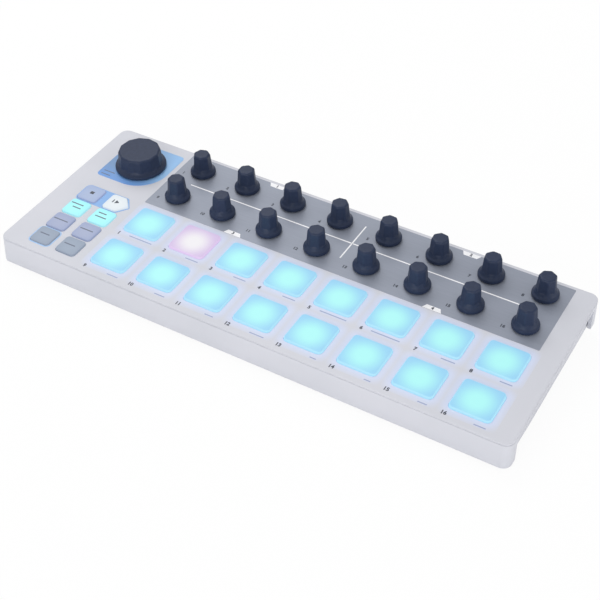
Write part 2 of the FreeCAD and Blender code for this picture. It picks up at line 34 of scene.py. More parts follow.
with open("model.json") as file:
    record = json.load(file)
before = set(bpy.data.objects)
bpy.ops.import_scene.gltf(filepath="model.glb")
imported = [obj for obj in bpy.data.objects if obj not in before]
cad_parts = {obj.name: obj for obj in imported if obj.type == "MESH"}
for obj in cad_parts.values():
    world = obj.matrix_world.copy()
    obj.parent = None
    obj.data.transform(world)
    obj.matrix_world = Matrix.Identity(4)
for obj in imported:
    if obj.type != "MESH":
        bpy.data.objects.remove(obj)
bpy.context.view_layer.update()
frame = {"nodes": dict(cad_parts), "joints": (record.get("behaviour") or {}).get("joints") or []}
bpy.ops.object.select_all(action="DESELECT")
mm = 0.001
through = 1.0  # how far a cutter reaches past what it cuts
seam = 0.05  # how far one piece reaches into the next where the two become one
hair = 0.01  # how far off a place may be and still count as there

# The case, and the fine groove round it under the deck's rim
case_half_width, case_half_depth, case_low, case_draft, case_corner = 153.5, 59.0, 1.5, 1.5, 5.0
groove_top, groove_bottom, groove_depth, slab_half_width, slab_half_depth = 0.75, 1.1, 0.25, 170, 70
shell_edge, pan_edge, sharp_angle, flat_angle = 0.22, 0.3, 32, 0.5
corner_merge, sliver_merge = 0.0005, 0.015

# Underside and sockets
strip_corner, strip_edge = 3.0, 0.4
head_radius, head_height, shank_radius, screw_skin = 2.8, 1.6, 1.2, 1.4
head_flat, head_crown, crown_height, head_side = 1.9, 2.45, 0.2, 0.75
recess_length, recess_width, recess_depth = 2.9, 0.7, 0.9
jack_neck, jack_bore, jack_depth, jack_height, jack_edge = 2.9, 1.8, 12.0, 5.0, 0.3
neck_reach, jack_wall = 1.0, 1.0
ring_inset, ring_depth, ring_proud, ring_slack = 0.4, 0.4, 0.08, 0.05
usb_shell, usb_bevel = 0.35, 0.9
tongue_inset, tongue_setback, tongue_rise, tongue_thickness, tongue_edge = 1.6, 0.6, 0.2, 0.6, 0.15

# Pads and keys
pad_width, pad_depth, pad_corner = 22.2, 21.2, 2.5
pad_proud, pad_edge, pad_crown = 1.4, 0.8, 0.12
pad_pitch_x, pad_pitch_y = 30.5, 30.2
key_width, key_depth, key_corner = 12.8, 12.6, 2.0
key_proud, key_edge = 0.9, 0.5
key_pitch_x, key_pitch_y = 17.9, 14.1
play_point, play_shoulder, play_corner, play_bevel = 1.6, 3.8, 1.2, 0.45
crown_steps = (0.8, 0.7, 0.5)
cap_bottom, rim_bottom, rim_reach, key_rim_reach = -2.55, -3.55, 1.0, 0.45
hollow_width, hollow_depth, pad_hollow_top, key_hollow_top = 4.2, 4.0, -2.65, -2.85
nose_bottom, nose_side = -4.15, 8.6
opening_clearance = 0.25
# The pads' painted glow on the case: how far out it reaches and how strong it is; then how far in front of a
# cap's middle its light lies.
painted_glow_reach, painted_glow_strength, light_depth = 7.0, 0.17, 1.2
bright_share, dim_share, edge_line = 0.12, 0.6, 0.7  # shares of a cap's width, and the line at its edge
key_colours = {
    "stop_key": "grey", "play_key": "white", "mode_key": "cyan", "sync_key": "cyan",
    "recall_key": "lavender", "store_key": "lavender", "shift_key": "grey", "channel_key": "grey"}
key_names = list(key_colours)  # two in a row, from the back to the front

# Knobs. A profile is radius and height; a knob's angle is that of one of its grip's corners.
skirt_profile = ((6.95, 0.6), (7.25, 0.72), (7.35, 1.05), (7.35, 2.25), (7.2, 2.7), (6.8, 3.0), (6.35, 3.35),
                 (6.0, 3.8), (5.8, 4.4), (5.6, 5.0), (5.2, 5.6), (4.7, 6.3))
grip_flats, grip_low_radius, grip_top_radius, grip_bottom, knob_height = 7, 5.85, 4.95, 3.6, 14.0
grip_edge, grip_rim = 0.7, 1.2
knob_angles = (32, 2, 24, 21, 10, 5, 10, 37, 50, 18, 0, 4, 25, 34, 2, 22)
flange_profile = ((14.55, 0.6), (14.9, 0.75), (15.0, 1.15), (15.0, 1.7), (14.85, 2.1), (14.4, 2.45),
                  (13.8, 2.75), (13.3, 3.15), (13.0, 3.7), (12.6, 4.4), (12.0, 4.8))
level_flats, level_low_radius, level_top_radius, level_bottom, level_height = 12, 13.1, 12.4, 3.0, 11.9
level_edge, level_rim, level_angle = 0.5, 1.2, 6.4
shaft_radius, shaft_bottom, shaft_reach, shaft_hole = 3.0, -6.9, 0.5, 3.7

# The printed deck
overlay, ink, sunk, ink_sunk = 0.10, 0.05, 0.05, 0.01
panel_left, panel_right, panel_front, panel_back, panel_corner = -100.2, 140.4, 5.55, 56.0, 0.7
tab_xs, tab_width, tab_depth, tab_slant = (-41.2, 81.0), 10.8, 2.9, 1.5
row_line_y, row_line_left, row_line_right, line_width = 31.6, -86.0, 127.0, 0.8
cross_line_x, cross_line_front, cross_line_back = 20.3, 18.0, 48.0
field_left, field_right, field_front, field_back, field_corner = -140.8, -103.2, 13.3, 51.0, 2.5
# The blue field's colour ramps: in from its sides, and the large knob's painted shadow in from its front
# edge; then the margin of its swept corner.
field_side_ramp, knob_shadow_start, knob_shadow_end, sweep_margin = 2.0, 1.0, 12.0, 0.05
band_margin, ring_margin, band_overlap = 0.85, 0.95, 2.0
pad_number, knob_number, number_weight = 3.2, 2.8, 0.12
knob_number_x, knob_number_y, pad_number_x = -10.2, -5.4, -11.0
pad_number_back, pad_number_front = -13.7, -14.5

# Short bars on deck and keys. A bar is where it starts and ends across, and where it lies along the deck.
bar_weight, bar_end, bar_back, bar_front = 0.6, 10.6, -13.2, -14.2
bar_starts = (-4.3, 2.6, 3.0, 3.0, -5.0, -5.6, 3.0, 4.0, 3.7, 4.2, 5.4, 2.2, 7.0, 7.0, 5.6, 4.4)
field_bars = ((-138.6, -131.2, 18.6), (-138.6, -132.4, 15.6))
key_bar_weight, mark_sunk, mark_proud = 0.8, 0.02, 0.04
key_bars = {
    "mode_key": ((-5.2, 3.0, 2.6), (-2.4, 3.2, -0.4)), "sync_key": ((-3.9, 1.4, 2.6), (-4.1, 3.3, -0.6)),
    "recall_key": ((-5.4, 4.2, 0.8),), "store_key": ((-4.8, 3.8, 0.9),), "shift_key": ((-3.9, 2.4, 1.0),),
    "channel_key": ((-4.5, 2.7, 0.5),)}
stop_mark = (-1.2, 1.2, -0.4, 1.8)
play_bar, play_arrow, arrow_x, play_mark_x, play_mark_y = (-2.5, -1.8, -1.3, 1.3), 1.7, 0.2, -0.6, 0.6

# Camera of the photograph
camera_turn, camera_height, camera_roll = 29.782, 40.555, 0.976
camera_place = (258.99, -441.77, 434.24)
camera_lens = 73.51

# Where the frame has the deck and what stands on it
joint_of = {joint["child"]: joint for joint in frame["joints"]}
knob_names = ["knob_%02d" % number for number in range(1, 17)]
pad_names = ["pad_%02d" % number for number in range(1, 17)]
deck_normal = Vector(joint_of["level_knob"]["axis"])
level_point = Vector(joint_of["level_knob"]["pos_m"])
tilt = math.atan2(-deck_normal.y, deck_normal.z)
deck_z = level_point.z - level_point.y * math.tan(tilt)
deck = Matrix.Translation((0, 0, deck_z)) @ Matrix.Rotation(tilt, 4, "X")


def spot(point):
    """Where on the deck a point of the frame lies, in millimetres along it."""
    local = deck.inverted() @ Vector(point)
    return local.x / mm, local.y / mm


def spot_of(node):
    if node in knob_names or node == "level_knob":
        return spot(joint_of[node]["pos_m"])
    low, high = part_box(node)
    return spot((low + high) / 2)


# Modelling by hand: each function works on the one piece that is selected


def alone(piece):
    bpy.ops.object.select_all(action="DESELECT")
    piece.select_set(True)
    bpy.context.view_layer.objects.active = piece


def added(name):
    """Name the primitive just added and set its size and place into its mesh."""
    piece = bpy.context.object
    piece.name = name
    piece.data.name = name
    bpy.ops.object.transform_apply(location=True, rotation=True, scale=True)
    return piece


def pick(piece, kind, test):
    """In edit mode, select the VERT, EDGE or FACE items that pass a test."""
    if bpy.context.mode != "EDIT_MESH":
        alone(piece)
        bpy.ops.object.mode_set(mode="EDIT")
    bpy.ops.mesh.select_mode(type=kind)
    bpy.ops.mesh.select_all(action="DESELECT")
    mesh = bmesh.from_edit_mesh(piece.data)
    items = {"VERT": mesh.verts, "EDGE": mesh.edges, "FACE": mesh.faces}[kind]
    for item in items:
        if test(item):
            item.select_set(True)
    mesh.select_flush_mode()
    bmesh.update_edit_mesh(piece.data)


def close_edit(piece):
    bpy.ops.mesh.select_all(action="SELECT")
    bpy.ops.mesh.normals_make_consistent(inside=False)
    bpy.ops.object.mode_set(mode="OBJECT")
    return piece


def upright(edge):
    one, two = edge.verts[0].co, edge.verts[1].co
    return abs(one.z - two.z) > 0.7 * (one - two).length


def level_at(height):
    return lambda item: all(abs(vertex.co.z - height * mm) < 0.002 * mm for vertex in item.verts)


def block(name, left, right, front, back, low, high):
    bpy.ops.mesh.primitive_cube_add(
        size=1, location=((left + right) / 2 * mm, (front + back) / 2 * mm, (low + high) / 2 * mm),
        scale=((right - left) * mm, (back - front) * mm, (high - low) * mm))
    return added(name)


def drum(name, radius, low, high, sides=48, x=0.0, y=0.0):
    bpy.ops.mesh.primitive_cylinder_add(vertices=sides, radius=radius * mm, depth=(high - low) * mm,
                                        location=(x * mm, y * mm, (low + high) / 2 * mm))
    return added(name)


def bevel(size, steps):
    bpy.ops.mesh.bevel(offset=size * mm, segments=steps, affect="EDGES")


def round_corners(piece, radius, steps, test=upright):
    pick(piece, "EDGE", test)
    bevel(radius, steps)
    return close_edit(piece)


def round_rim(piece, height, size, steps):
    pick(piece, "EDGE", level_at(height))
    bevel(size, steps)
    return close_edit(piece)


def combine(piece, other, operation):
    alone(piece)
    change = piece.modifiers.new("combine", "BOOLEAN")
    change.operation = operation
    change.solver = "EXACT"
    change.object = other
    bpy.ops.object.modifier_apply(modifier=change.name)
    bpy.data.objects.remove(other)
    return piece


def joined(pieces, name):
    bpy.ops.object.select_all(action="DESELECT")
    for piece in pieces:
        piece.select_set(True)
    bpy.context.view_layer.objects.active = pieces[0]
    if len(pieces) > 1:
        bpy.ops.object.join()
    pieces[0].name = name
    return pieces[0]


def copy_of(piece, name):
    twin = piece.copy()
    twin.data = piece.data.copy()
    twin.name = name
    bpy.context.scene.collection.objects.link(twin)
    return twin


def smooth(piece, angle=35.0):
    """Smooth shading that keeps flats flat and edges crisp."""
    alone(piece)
    bpy.ops.object.shade_smooth_by_angle(angle=math.radians(angle))
    bpy.ops.object.mode_set(mode="EDIT")
    bpy.ops.mesh.select_mode(type="EDGE")
    bpy.ops.mesh.select_all(action="DESELECT")
    bpy.ops.mesh.edges_select_sharp(sharpness=math.radians(angle))
    bpy.ops.mesh.mark_sharp()
    bpy.ops.object.mode_set(mode="OBJECT")
    weigh = piece.modifiers.new("weigh", "WEIGHTED_NORMAL")
    weigh.keep_sharp = True
    bpy.ops.object.modifier_apply(modifier=weigh.name)
    return piece


def set_on_deck(piece, x=0.0, y=0.0, turn=0.0):
    """Move a mesh that was modelled at the origin to its place on the sloping deck."""
    turned = Matrix.Rotation(math.radians(turn), 4, "Z")
    piece.data.transform(deck @ Matrix.Translation((x * mm, y * mm, 0)) @ turned)
    piece.data.update()
    return piece


def dress(piece, material, body):
    piece.data.materials.clear()
    piece.data.materials.append(material)
    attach(piece, body)
    return piece


# Materials


def linear(code):
    """Six hex digits of an sRGB colour, as linear red, green, blue and alpha."""
    parts = [int(code[i:i + 2], 16) / 255 for i in (0, 2, 4)]
    return tuple(c / 12.92 if c <= 0.04045 else ((c + 0.055) / 1.055) ** 2.4 for c in parts) + (1.0,)


def add(tree, kind, inputs, **settings):
    """Add a node. An input is given by its name or number and is a value or another node's output."""
    made = tree.nodes.new(kind)
    for name, value in settings.items():
        setattr(made, name, value)
    for name, value in inputs.items():
        if isinstance(value, bpy.types.NodeSocket):
            tree.links.new(value, made.inputs[name])
        else:
            made.inputs[name].default_value = value
    return made


def new_material(name):
    """An empty material, its node tree and the place on the piece, in metres, that its patterns follow."""
    made = bpy.data.materials.new(name)
    made.use_nodes = True
    made.node_tree.nodes.clear()
    place = add(made.node_tree, "ShaderNodeTexCoord", {}).outputs["Object"]
    return made, made.node_tree, place


def put_out(tree, shader):
    add(tree, "ShaderNodeOutputMaterial", {"Surface": shader.outputs[0]})


def speckled(tree, place, size, low, high, detail=2.0):
    """A noise whose spots are about size millimetres wide, as a number from low to high."""
    spots = add(tree, "ShaderNodeTexNoise",
                {"Vector": place, "Scale": 1 / (size * mm), "Detail": detail, "Roughness": 0.6})
    return add(tree, "ShaderNodeMapRange",
               {"Value": spots.outputs[0], "From Min": 0.3, "From Max": 0.7, "To Min": low, "To Max": high}
               ).outputs[0]


def two_tone(tree, factor, one, two):
    mixed = add(tree, "ShaderNodeMix", {0: factor, 6: linear(one), 7: linear(two)}, data_type="RGBA")
    return mixed.outputs[2]


def bumped(tree, height, depth, strength):
    bump = add(tree, "ShaderNodeBump", {"Height": height, "Distance": depth * mm, "Strength": strength})
    return bump.outputs[0]


def moulded_abs():
    """ABS from a spark-eroded mould: an even matt grain, and a painted blue glow near the pads that stands
    in for the light they spill onto it.
    """
    made, tree, place = new_material("moulded ABS")
    grain = speckled(tree, place, 0.6, 0.0, 1.0, 3.0)
    shade = two_tone(tree, speckled(tree, place, 60.0, 0.0, 1.0), "CCCED6", "D2D3DB")
    # Painted light: blue emission on the case round the pads, strongest at their edges and gone a few
    # millimetres out.
    away = outside_cap(tree, grid_offsets(tree, place, pad_grid), pad_grid[0], pad_corner)
    near = add(tree, "ShaderNodeMapRange", {"Value": away, "From Min": painted_glow_reach * mm, "From Max": 0.0},
               interpolation_type="SMOOTHSTEP")
    split = add(tree, "ShaderNodeSeparateXYZ", {"Vector": place})
    bounds = ((0, pad_spots[0][0] - pad_pitch_x / 2, pad_spots[7][0] + pad_pitch_x / 2),
              (1, pad_spots[8][1] - pad_pitch_y / 2, pad_spots[0][1] + pad_pitch_y / 2))
    for axis, low, high in bounds:
        for edge, side in ((low, "GREATER_THAN"), (high, "LESS_THAN")):
            within = add(tree, "ShaderNodeMath", {0: split.outputs[axis], 1: edge * mm}, operation=side)
            near = add(tree, "ShaderNodeMath", {0: near.outputs[0], 1: within.outputs[0]},
                       operation="MULTIPLY")
    glow = add(tree, "ShaderNodeMath", {0: near.outputs[0], 1: painted_glow_strength}, operation="MULTIPLY")
    put_out(tree, add(tree, "ShaderNodeBsdfPrincipled", {
        "Base Color": shade, "Roughness": speckled(tree, place, 1.4, 0.46, 0.56), "IOR": 1.5,
        "Normal": bumped(tree, grain, 0.02, 0.35), "Emission Color": linear("5C9CFF"),
        "Emission Strength": glow.outputs[0]}))
    return made


def printed_panel():
    """Silver-grey screen ink: flakes laid along the squeegee's stroke, so it shines in faint streaks."""
    made, tree, place = new_material("silver-grey screen ink")
    stroke = add(tree, "ShaderNodeMapping", {"Vector": place, "Scale": (0.06, 1.0, 1.0)}).outputs[0]
    streak = speckled(tree, stroke, 0.7, 0.0, 1.0, 3.0)
    shade = two_tone(tree, streak, "8F95A3", "949AA8")
    put_out(tree, add(tree, "ShaderNodeBsdfPrincipled", {
        "Base Color": shade, "Metallic": 0.2, "Roughness": speckled(tree, stroke, 0.7, 0.42, 0.46),
        "Normal": bumped(tree, streak, 0.006, 0.15)}))
    return made


def screen_ink(name, one, two):
    """Screen-printed ink: a thin satin film with the fine mottle of the mesh it was pressed through."""
    made, tree, place = new_material(name)
    mottle = speckled(tree, place, 0.8, 0.0, 1.0)
    put_out(tree, add(tree, "ShaderNodeBsdfPrincipled", {
        "Base Color": two_tone(tree, mottle, one, two), "Roughness": 0.42, "IOR": 1.5,
        "Normal": bumped(tree, mottle, 0.01, 0.15)}))
    return made


def field_print():
    """Blue screen ink round the large knob, with a painted shadow of the knob deepening it in front; greyer
    and darker towards the left.
    """
    made, tree, place = new_material("blue ink with painted shade")
    split = add(tree, "ShaderNodeSeparateXYZ", {"Vector": place})
    across = add(tree, "ShaderNodeMapRange", {
        "Value": split.outputs[0], "From Min": (field_left + field_side_ramp) * mm,
        "From Max": (field_right - field_side_ramp) * mm})
    # A painted shadow of the large knob: deepest blue at the field's front, fading out over about eleven
    # millimetres.
    along = add(tree, "ShaderNodeMapRange", {
        "Value": split.outputs[1], "From Min": (field_front + knob_shadow_start) * mm,
        "From Max": (field_front + knob_shadow_end) * mm})
    left_to_right = two_tone(tree, across.outputs[0], "7499C6", "92C0EE")
    shade = add(tree, "ShaderNodeMix", {0: along.outputs[0], 6: linear("6A9CDE"), 7: left_to_right},
                data_type="RGBA")
    mottle = speckled(tree, place, 0.8, 0.0, 1.0)
    put_out(tree, add(tree, "ShaderNodeBsdfPrincipled", {
        "Base Color": shade.outputs[2], "Roughness": 0.42, "IOR": 1.5,
        "Normal": bumped(tree, mottle, 0.01, 0.15)}))
    return made


def grid_offsets(tree, place, grid):
    """Where a point lies in its cell of a grid of caps: across and along from the middle, in metres."""
    _, centre, pitch = grid
    split = add(tree, "ShaderNodeSeparateXYZ", {"Vector": place})
    offsets = []
    for axis in (0, 1):
        moved = add(tree, "ShaderNodeMath", {0: split.outputs[axis], 1: centre[axis] * mm},
                    operation="SUBTRACT")
        half = pitch[axis] / 2 * mm
        wrapped = add(tree, "ShaderNodeMath", {0: moved.outputs[0], 1: half, 2: -half}, operation="WRAP")
        offsets.append(wrapped.outputs[0])
    return offsets


def outside_cap(tree, offsets, size, corner):
    """How far a point is outside its cell's rounded cap, in metres; less than nothing inside it."""
    beyond = []
    for axis in (0, 1):
        reach = add(tree, "ShaderNodeMath", {0: offsets[axis]}, operation="ABSOLUTE")
        past = add(tree, "ShaderNodeMath", {0: reach.outputs[0], 1: (size[axis] / 2 - corner) * mm},
                   operation="SUBTRACT")
        beyond.append(past.outputs[0])
    most = add(tree, "ShaderNodeMath", {0: beyond[0], 1: beyond[1]}, operation="MAXIMUM")
    inner = add(tree, "ShaderNodeMath", {0: most.outputs[0], 1: 0.0}, operation="MINIMUM")
    outer = add(tree, "ShaderNodeCombineXYZ", {
        axis: add(tree, "ShaderNodeMath", {0: beyond[axis], 1: 0.0}, operation="MAXIMUM").outputs[0]
        for axis in (0, 1)})
    round_part = add(tree, "ShaderNodeVectorMath", {0: outer.outputs[0]}, operation="LENGTH")
    total = add(tree, "ShaderNodeMath", {0: round_part.outputs["Value"], 1: inner.outputs[0]},
                operation="ADD")
    outside = add(tree, "ShaderNodeMath", {0: total.outputs[0], 1: corner * mm}, operation="SUBTRACT")
    return outside.outputs[0]


def lit_silicone(name, middle, edge, line, glow, grid, corner):
    """Translucent silicone over a light: brightest over the light, bluer at its edges, satin outside."""
    made, tree, place = new_material(name)
    offsets = grid_offsets(tree, place, grid)
    size = grid[0]
    forward = add(tree, "ShaderNodeMath", {0: offsets[1], 1: light_depth * mm}, operation="ADD").outputs[0]
    flat = add(tree, "ShaderNodeCombineXYZ", {0: offsets[0], 1: forward})
    reach = add(tree, "ShaderNodeVectorMath", {0: flat.outputs[0]}, operation="LENGTH")
    spread = add(tree, "ShaderNodeMapRange",
                 {"Value": reach.outputs["Value"], "From Min": bright_share * size[0] * mm,
                  "From Max": dim_share * size[0] * mm},
                 interpolation_type="SMOOTHSTEP")
    rim = add(tree, "ShaderNodeMapRange",
              {"Value": outside_cap(tree, offsets, size, corner), "From Min": -edge_line * mm,
               "From Max": 0.0})
    body = two_tone(tree, spread.outputs[0], middle, edge)
    light = add(tree, "ShaderNodeMix", {0: rim.outputs[0], 6: body, 7: linear(line)}, data_type="RGBA")
    skin = add(tree, "ShaderNodeMix", {0: 0.6, 6: light.outputs[2], 7: linear("0C1014")}, data_type="RGBA")
    put_out(tree, add(tree, "ShaderNodeBsdfPrincipled", {
        "Base Color": skin.outputs[2], "Roughness": speckled(tree, place, 0.7, 0.4, 0.5), "IOR": 1.41,
        "Emission Color": light.outputs[2], "Emission Strength": glow,
        "Normal": bumped(tree, speckled(tree, place, 0.9, 0.0, 1.0), 0.01, 0.2)}))
    return made


def soft_touch():
    """Knobs of ABS under a rubbery soft-touch paint: dark slate blue, soft sheen, no sharp highlight."""
    made, tree, place = new_material("soft-touch paint on ABS")
    dust = speckled(tree, place, 1.6, 0.0, 1.0, 3.0)
    shade = two_tone(tree, dust, "253048", "2B3650")
    put_out(tree, add(tree, "ShaderNodeBsdfPrincipled", {
        "Base Color": shade, "Roughness": speckled(tree, place, 1.1, 0.41, 0.48), "IOR": 1.35,
        "Normal": bumped(tree, speckled(tree, place, 0.5, 0.0, 1.0), 0.015, 0.3)}))
    return made


def powder_coat():
    """Pressed steel under pale grey powder coat: a low orange-peel texture of about a millimetre."""
    made, tree, place = new_material("powder-coated steel")
    peel = speckled(tree, place, 1.0, 0.0, 1.0, 3.0)
    put_out(tree, add(tree, "ShaderNodeBsdfPrincipled", {
        "Base Color": two_tone(tree, peel, "C9CBD3", "D2D4DC"), "Roughness": 0.5, "IOR": 1.5,
        "Normal": bumped(tree, peel, 0.05, 0.5)}))
    return made


def foot_rubber():
    """Black rubber strip, matt, with a little dust in its moulded grain."""
    made, tree, place = new_material("foot rubber")
    grain = speckled(tree, place, 0.7, 0.0, 1.0, 3.0)
    put_out(tree, add(tree, "ShaderNodeBsdfPrincipled", {
        "Base Color": two_tone(tree, grain, "1B1B1D", "28282B"), "Roughness": 0.85, "IOR": 1.52,
        "Normal": bumped(tree, grain, 0.04, 0.4)}))
    return made


def plated_steel(name, one, two, roughness):
    """Zinc or tin on steel: bright metal with cloudy spangle and fine scratches."""
    made, tree, place = new_material(name)
    spangle = speckled(tree, place, 1.8, 0.0, 1.0)
    put_out(tree, add(tree, "ShaderNodeBsdfPrincipled", {
        "Base Color": two_tone(tree, spangle, one, two), "Metallic": 1.0,
        "Roughness": speckled(tree, place, 0.8, roughness, roughness + 0.12),
        "Normal": bumped(tree, speckled(tree, place, 0.3, 0.0, 1.0), 0.004, 0.3)}))
    return made


def moulded_dark(name, one, two, roughness):
    """Black nylon or epoxy resin: fine matt moulding."""
    made, tree, place = new_material(name)
    grain = speckled(tree, place, 0.5, 0.0, 1.0)
    put_out(tree, add(tree, "ShaderNodeBsdfPrincipled", {
        "Base Color": two_tone(tree, grain, one, two), "Roughness": roughness, "IOR": 1.53,
        "Normal": bumped(tree, grain, 0.01, 0.3)}))
    return made


def solder_mask():
    """Glass-fibre laminate under green solder mask, with the woven glass showing faintly every 1.2 mm."""
    made, tree, place = new_material("laminate under solder mask")
    weave = add(tree, "ShaderNodeTexChecker", {
        "Vector": place, "Color1": linear("1D5A3A"), "Color2": linear("226442"), "Scale": 1 / (1.2 * mm)})
    put_out(tree, add(tree, "ShaderNodeBsdfPrincipled", {
        "Base Color": weave.outputs[0], "Roughness": 0.35, "IOR": 1.5, "Coat Weight": 0.4}))
    return made


def striped_film(name, one, two, pitch):
    """Polyester film with printed or laminated conductors side by side."""
    made, tree, place = new_material(name)
    stripes = add(tree, "ShaderNodeTexWave", {"Vector": place, "Scale": math.pi / 10 / (pitch * mm)},
                  bands_direction="X")
    put_out(tree, add(tree, "ShaderNodeBsdfPrincipled", {
        "Base Color": two_tone(tree, stripes.outputs[1], one, two), "Roughness": 0.3, "IOR": 1.6}))
    return made


def clear_lens():
    """Clear resin over a light emitter, cloudy white from the phosphor under it."""
    made, tree, place = new_material("light emitter resin")
    cloud = speckled(tree, place, 1.0, 0.0, 1.0)
    put_out(tree, add(tree, "ShaderNodeBsdfPrincipled", {
        "Base Color": two_tone(tree, cloud, "E8F4FF", "FFF8D8"), "Roughness": 0.2, "IOR": 1.5,
        "Emission Color": linear("CFF4FF"), "Emission Strength": 0.5}))
    return made


def studio_floor():
    """A white sweep: it takes the object's shadow, and its white comes from its colour."""
    made, tree, place = new_material("studio sweep")
    paper = speckled(tree, place, 30.0, 0.96, 1.0)
    tone = add(tree, "ShaderNodeMix", {0: paper, 6: linear("F4F4F5"), 7: linear("FCFCFC")}, data_type="RGBA")
    matt = add(tree, "ShaderNodeBsdfDiffuse", {"Color": tone.outputs[2], "Roughness": 0.6})
    white = add(tree, "ShaderNodeEmission", {"Color": (1.0, 1.0, 1.0, 1.0), "Strength": 1.0})
    rays = add(tree, "ShaderNodeLightPath", {})
    seen = add(tree, "ShaderNodeMath", {0: rays.outputs["Is Camera Ray"], 1: rays.outputs["Is Glossy Ray"]},
               operation="MAXIMUM").outputs[0]
    seen = add(tree, "ShaderNodeMath", {0: seen, 1: rays.outputs["Is Transmission Ray"]},
               operation="MAXIMUM").outputs[0]
    share = add(tree, "ShaderNodeMath", {0: seen, 1: 0.93}, operation="MULTIPLY").outputs[0]
    put_out(tree, add(tree, "ShaderNodeMixShader", {0: share, 1: matt.outputs[0], 2: white.outputs[0]}))
    return made


pad_spots = [spot_of(name) for name in pad_names]
pad_grid = ((pad_width, pad_depth), pad_spots[0], (pad_pitch_x, pad_pitch_y))
key_grid = ((key_width, key_depth), spot_of("stop_key"), (key_pitch_x, key_pitch_y))
abs_plastic = moulded_abs()
panel_ink = printed_panel()
white_ink = screen_ink("white ink", "F4F4F8", "FAFAFC")
blue_ink = screen_ink("light blue ink", "82AEE4", "88B4E8")
field_ink = field_print()
ring_ink = screen_ink("pale blue ink", "A2C6EE", "A8CCF2")
dark_ink = screen_ink("dark ink", "343A48", "3C4250")
slate_ink = screen_ink("slate ink", "646C80", "6C7488")
pale_slate_ink = screen_ink("pale slate ink", "96A2C4", "9CA8CA")
knob_paint = soft_touch()
pan_coat = powder_coat()
rubber = foot_rubber()
zinc = plated_steel("zinc-plated steel", "9A9DA3", "B4B6BA", 0.3)
tin = plated_steel("tinned steel", "B8B8B6", "CFCFCC", 0.22)
nylon = moulded_dark("black nylon", "17181B", "1F2024", 0.5)
resin = moulded_dark("epoxy resin", "1A1A1C", "242427", 0.6)
laminate = solder_mask()


# The case


def wall_at(height, side):
    """Where the drafted wall stands on a plane level with the deck, in front (-1) or at the back (1)."""
    y = side * case_half_depth
    for _ in range(4):  # the wall leans, so its place and its height are worked out in turn
        z = deck_z / mm + y * math.tan(tilt) + height / math.cos(tilt)
        lean = (z - case_low) * math.tan(math.radians(case_draft))
        y = side * (case_half_depth - lean)
    return case_half_width - lean, (y + height * math.sin(tilt)) / math.cos(tilt)


def groove_ring():
    """What the mould leaves out for the groove: a level slab less a core that follows the drafted walls."""
    middle = -(groove_top + groove_bottom) / 2
    front_half, front = wall_at(middle, -1)
    back_half, back = wall_at(middle, 1)
    ring = block("groove", -slab_half_width, slab_half_width, -slab_half_depth, slab_half_depth,
                 -groove_bottom, -groove_top)
    half = front_half - groove_depth
    core = block("core", -half, half, front + groove_depth, back - groove_depth, -2 * through, 2 * through)
    pick(core, "FACE", lambda face: face.calc_center_median().y > (back - groove_depth - hair) * mm)
    bpy.ops.transform.resize(value=((back_half - groove_depth) / half, 1, 1), center_override=(0, 0, 0))
    close_edit(core)
    round_corners(core, case_corner - groove_depth, 12)
    return set_on_deck(combine(ring, core, "DIFFERENCE"))


def merged(piece, reach):
    """Merge corners that lie within reach of each other, and drop the faces that have no width left."""
    alone(piece)
    bpy.ops.object.mode_set(mode="EDIT")
    bpy.ops.mesh.select_all(action="SELECT")
    bpy.ops.mesh.remove_doubles(threshold=reach * mm)
    bpy.ops.mesh.dissolve_degenerate(threshold=reach * mm)
    bpy.ops.object.mode_set(mode="OBJECT")
    return piece


def softened(node, name, width):
    """A copy of a frame node, facets merged and sharp edges softened as a mould or a press leaves them."""
    piece = merged(copy_of(frame["nodes"][node], name), corner_merge)
    bpy.ops.object.mode_set(mode="EDIT")
    bpy.ops.mesh.dissolve_limited(angle_limit=math.radians(flat_angle))
    bpy.ops.object.mode_set(mode="OBJECT")
    soften = piece.modifiers.new("soften", "BEVEL")
    soften.width = width * mm
    soften.segments = 2
    soften.limit_method = "ANGLE"
    soften.angle_limit = math.radians(sharp_angle)
    alone(piece)
    bpy.ops.object.modifier_apply(modifier=soften.name)
    return piece


def make_case():
    shell = combine(softened("top_shell", "case_shell", shell_edge), groove_ring(), "DIFFERENCE")
    dress(smooth(merged(shell, sliver_merge), sharp_angle), abs_plastic, "case")
    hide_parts("top_shell")
    pan = smooth(softened("base_pan", "pan_sheet", pan_edge), sharp_angle)
    dress(pan, pan_coat, "case")
    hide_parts("base_pan")


def make_feet():
    for node in ("front_foot_strip", "back_foot_strip"):
        low, high = (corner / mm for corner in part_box(node))
        strip = block(node[:-6] + "_rubber", low.x, high.x, low.y, high.y, low.z, high.z)
        round_corners(strip, strip_corner, 8)
        round_rim(strip, low.z, strip_edge, 3)
        dress(smooth(strip), rubber, "case")
        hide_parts(node)


def make_screws():
    """Pan-head screws with a cross recess, driven up through the pan."""
    low, high = (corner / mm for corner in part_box("case_screws"))
    screws = []
    for x in (low.x + head_radius, pad_spots[2][0] + pad_pitch_x / 2, high.x - head_radius):
        for y in (low.y + head_radius, high.y - head_radius):
            top = deck_z / mm + y * math.tan(tilt) - screw_skin / math.cos(tilt)
            screw = lathe("screw", ((head_flat, 0), (head_crown, crown_height), (head_radius, head_side),
                                    (head_radius, head_height), (shank_radius, head_height),
                                    (shank_radius, top - low.z)), 32)
            for wide, deep in ((recess_length, recess_width), (recess_width, recess_length)):
                slot = block("slot", -wide / 2, wide / 2, -deep / 2, deep / 2, -through, recess_depth)
                combine(screw, slot, "DIFFERENCE")
            screw.data.transform(Matrix.Translation((x * mm, y * mm, low.z * mm)))
            screws.append(screw)
    screws = joined(screws, "pan_screws")
    dress(smooth(screws), zinc, "case")
    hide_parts("case_screws")


def along_y(piece, x, z):
    """Lay a piece that was modelled about Z along Y, its height turned to the back, at x and z."""
    piece.data.transform(Matrix.Translation((x * mm, 0, z * mm)) @ Matrix.Rotation(-math.pi / 2, 4, "X"))
    return piece


